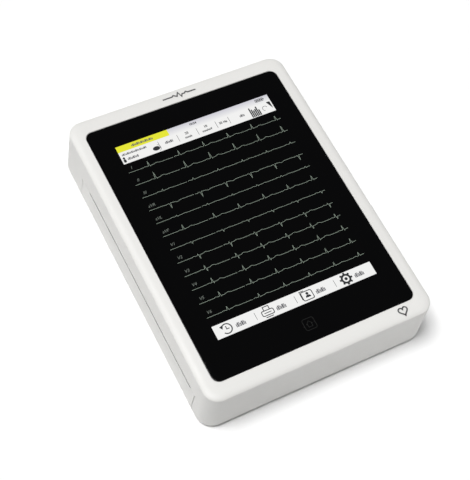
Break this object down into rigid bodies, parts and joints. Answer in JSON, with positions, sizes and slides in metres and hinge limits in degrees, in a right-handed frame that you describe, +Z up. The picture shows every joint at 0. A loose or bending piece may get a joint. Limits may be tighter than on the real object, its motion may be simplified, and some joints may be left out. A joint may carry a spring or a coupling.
{
  "type": "ecg machine",
  "caption": "Tablet-shaped ECG recorder: flared case with rounded edges, full-face cover glass over a portrait display, and a side drawer that prints on folded paper.",
  "frame": {"origin": "middle of the footprint, on the plane that the rubber feet stand on", "axes": "+X to the right of the screen, +Y to the top of the screen, +Z up out of the glass; the paper drawer is on -X"},
  "size_m": [0.2278, 0.3048, 0.0584],
  "materials": {
    "case_plastic": "fine moulded texture, satin, warm white",
    "cover_glass": "polished, black behind the glass",
    "display_light": "lit picture behind the glass",
    "rubber": "matt black",
    "black_plastic": "moulded, matt",
    "zinc_steel": "zinc plated, satin",
    "aluminium": "mill finish",
    "circuit_board": "green solder mask",
    "gold_film": "amber film over copper",
    "gear_plastic": "natural acetal",
    "battery_wrap": "shrink film",
    "thermal_paper": "uncoated edge, pale pink",
    "label_film": "blank printed film"
  },
  "bodies": {
    "root": {"upper_housing": "case_plastic", "lower_housing": "case_plastic", "battery_cover": "case_plastic", "cover_glass": "cover_glass", "display_cell": "display_light", "foot_1": "rubber", "foot_2": "rubber", "foot_3": "rubber", "foot_4": "rubber", "glass_gasket": "rubber", "drawer_rail_1": "black_plastic", "drawer_rail_2": "black_plastic", "speaker": "black_plastic", "patient_connector": "black_plastic", "dc_inlet": "black_plastic", "power_switch": "black_plastic", "paper_sensor": "black_plastic", "stepper_motor": "black_plastic", "printer_chassis": "zinc_steel", "spring_crossbar": "zinc_steel", "head_pivot_pin": "zinc_steel", "idler_pin": "zinc_steel", "mid_frame": "zinc_steel", "ecg_shield_can": "zinc_steel", "usb_port_1": "zinc_steel", "usb_port_2": "zinc_steel", "lan_port": "zinc_steel", "battery_cover_screw": "zinc_steel", "drawer_latch": "zinc_steel", "tear_bar": "zinc_steel", "case_screw_1": "zinc_steel", "case_screw_2": "zinc_steel", "case_screw_3": "zinc_steel", "case_screw_4": "zinc_steel", "case_screw_5": "zinc_steel", "case_screw_6": "zinc_steel", "head_spring_1": "zinc_steel", "head_spring_2": "zinc_steel", "display_module": "aluminium", "main_board": "circuit_board", "ecg_board": "circuit_board", "io_board": "circuit_board", "display_flex_cable": "gold_film", "wireless_antenna": "gold_film", "battery_pack": "battery_wrap", "rating_plate": "label_film"},
    "drawer": {"drawer_front": "case_plastic", "paper_tray": "black_plastic", "platen_bush_1": "gear_plastic", "platen_bush_2": "gear_plastic", "paper_pack": "thermal_paper"},
    "platen": {"platen_roller": "rubber", "platen_shaft": "zinc_steel", "platen_gear": "gear_plastic"},
    "print_head": {"thermal_head": "gold_film", "head_heat_sink": "aluminium"},
    "idler": {"idler_gear": "gear_plastic"},
    "motor_spindle": {"motor_pinion": "gear_plastic", "motor_shaft": "zinc_steel"},
    "power_button": {"power_button": "case_plastic"}
  },
  "joints": [
    {"name": "drawer_slide", "type": "slide", "parent": "root", "child": "drawer", "axis": [-1, 0, 0], "range_m": [0, 0.135]},
    {"name": "platen_spin", "type": "hinge", "parent": "drawer", "child": "platen", "pos_m": [-0.1025, 0, 0.0229], "axis": [0, 1, 0], "continuous": true},
    {"name": "idler_spin", "type": "hinge", "parent": "root", "child": "idler", "pos_m": [-0.0875, 0, 0.0229], "axis": [0, 1, 0], "continuous": true},
    {"name": "motor_spin", "type": "hinge", "parent": "root", "child": "motor_spindle", "pos_m": [-0.0737, 0, 0.0229], "axis": [0, 1, 0], "continuous": true},
    {"name": "head_lift", "type": "hinge", "parent": "root", "child": "print_head", "pos_m": [-0.0845, 0, 0.0342], "axis": [0, 1, 0], "range_deg": [0, 3], "stiffness_Nm_per_rad": 1, "springref_deg": -11.46, "deforming": ["head_spring_1", "head_spring_2"]},
    {"name": "button_press", "type": "slide", "parent": "root", "child": "power_button", "axis": [-1, 0, 0], "range_m": [0, 0.0012], "stiffness_N_per_m": 500, "springref_m": -0.001}
  ],
  "couplings": [
    {"joint": "idler_spin", "follows": "platen_spin", "ratio": -0.66667},
    {"joint": "motor_spin", "follows": "platen_spin", "ratio": 1.25}
  ]
}
